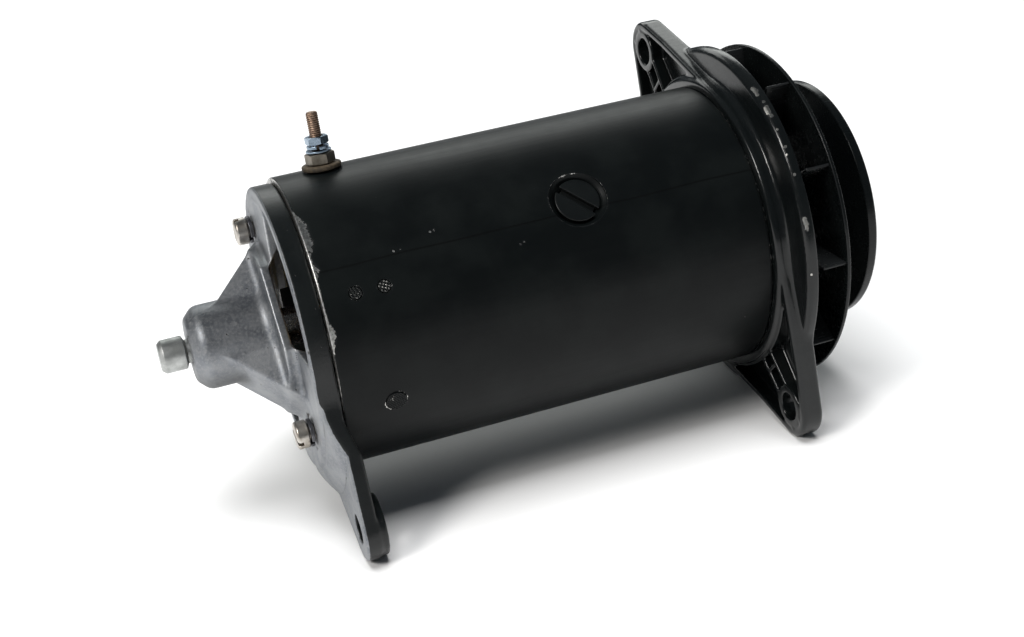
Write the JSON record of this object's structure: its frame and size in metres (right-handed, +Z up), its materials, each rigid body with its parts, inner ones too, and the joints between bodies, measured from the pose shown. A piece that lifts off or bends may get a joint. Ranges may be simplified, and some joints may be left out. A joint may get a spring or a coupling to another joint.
{
  "type": "dynamo motor",
  "caption": "Cylindrical brushed DC dynamo motor with end brackets, three mounting lugs, cooling fan, V-belt pulley, terminal stud and lubricator cap.",
  "frame": {"origin": "centre of the footprint of the whole machine, on the surface that it lies on", "axes": "+X along the shaft from the commutator end to the pulley, +Z up, with the machine lying on the rim of the drive-end bracket and its lower lugs"},
  "size_m": [0.2842, 0.1444, 0.1509],
  "materials": {
    "black_paint": "satin black enamel",
    "cast_aluminium": "bare die casting",
    "bright_steel": "machined steel",
    "zinc_plate": "blue zinc plate",
    "copper": "turned copper",
    "terminal_brass": "tarnished brass",
    "sintered_bronze": "oil-filled sintered bronze",
    "fibre_insulator": "vulcanised fibre",
    "laminated_steel": "laminated steel",
    "varnished_winding": "varnished copper wire",
    "coil_tape": "varnished cotton tape",
    "carbon": "carbon",
    "oil_felt": "oiled felt",
    "brass": "sheet brass",
    "spring_steel": "spring steel"
  },
  "bodies": {
    "stator": {"yoke": "black_paint", "pole_screw_front": "black_paint", "pole_screw_rear": "black_paint", "drive_end_bracket": "black_paint", "holder_rivet_front_1": "black_paint", "holder_rivet_front_2": "black_paint", "holder_rivet_rear_1": "black_paint", "holder_rivet_rear_2": "black_paint", "field_earth_rivet": "black_paint", "commutator_end_bracket": "cast_aluminium", "bearing_outer_ring": "bright_steel", "bearing_retaining_plate": "bright_steel", "retaining_screw_1": "bright_steel", "retaining_screw_2": "bright_steel", "retaining_screw_3": "bright_steel", "through_bolt_top": "bright_steel", "through_bolt_bottom": "bright_steel", "bolt_spring_washer_top": "bright_steel", "bolt_spring_washer_bottom": "bright_steel", "lubricator_cap": "bright_steel", "terminal_lower_nut": "bright_steel", "terminal_flat_washer": "zinc_plate", "terminal_spring_washer": "zinc_plate", "terminal_upper_nut": "zinc_plate", "terminal_stud": "terminal_brass", "end_bush": "sintered_bronze", "terminal_insulating_bush": "fibre_insulator", "terminal_fibre_washer": "fibre_insulator", "pole_shoe_front": "laminated_steel", "pole_shoe_rear": "laminated_steel", "field_coil_front": "coil_tape", "field_coil_rear": "coil_tape", "lubricator_felt": "oil_felt", "brush_holder_front": "brass", "brush_holder_rear": "brass"},
    "rotor": {"armature_shaft": "bright_steel", "armature_core": "laminated_steel", "armature_winding": "varnished_winding", "commutator": "copper", "commutator_insulator": "fibre_insulator", "bearing_inner_ring": "bright_steel", "distance_collar": "bright_steel", "shaft_key": "bright_steel", "fan": "black_paint", "pulley": "black_paint", "pulley_spring_washer": "bright_steel", "pulley_nut": "bright_steel"},
    "ball_cage": {"bearing_cage_and_balls": "bright_steel"},
    "front_brush": {"brush_front": "carbon"},
    "rear_brush": {"brush_rear": "carbon"},
    "front_spring_arm": {"brush_spring_arm_front": "spring_steel"},
    "rear_spring_arm": {"brush_spring_arm_rear": "spring_steel"}
  },
  "joints": [
    {"name": "rotor_spin", "type": "hinge", "parent": "stator", "child": "rotor", "pos_m": [0.0141, 0, 0.072], "axis": [1, 0, 0], "continuous": true},
    {"name": "ball_cage_spin", "type": "hinge", "parent": "stator", "child": "ball_cage", "pos_m": [0.08935, 0, 0.072], "axis": [1, 0, 0], "continuous": true},
    {"name": "front_brush_slide", "type": "slide", "parent": "stator", "child": "front_brush", "axis": [0, -0.8651, 0.5016], "range_m": [0, 0.008], "stiffness_N_per_m": 300, "springref_m": -0.02},
    {"name": "front_spring_arm_swing", "type": "hinge", "parent": "stator", "child": "front_spring_arm", "pos_m": [-0.0679, -0.03942, 0.07798], "axis": [1, 0, 0], "range_deg": [0, 33.4]},
    {"name": "rear_brush_slide", "type": "slide", "parent": "stator", "child": "rear_brush", "axis": [0, 0.8651, -0.5016], "range_m": [0, 0.008], "stiffness_N_per_m": 300, "springref_m": -0.02},
    {"name": "rear_spring_arm_swing", "type": "hinge", "parent": "stator", "child": "rear_spring_arm", "pos_m": [-0.0679, 0.03942, 0.06602], "axis": [1, 0, 0], "range_deg": [0, 33.4]}
  ],
  "couplings": [
    {"joint": "ball_cage_spin", "follows": "rotor_spin", "ratio": 0.3962},
    {"joint": "front_spring_arm_swing", "follows": "front_brush_slide", "rad_per_m": 72.488},
    {"joint": "rear_spring_arm_swing", "follows": "rear_brush_slide", "rad_per_m": 72.488}
  ]
}
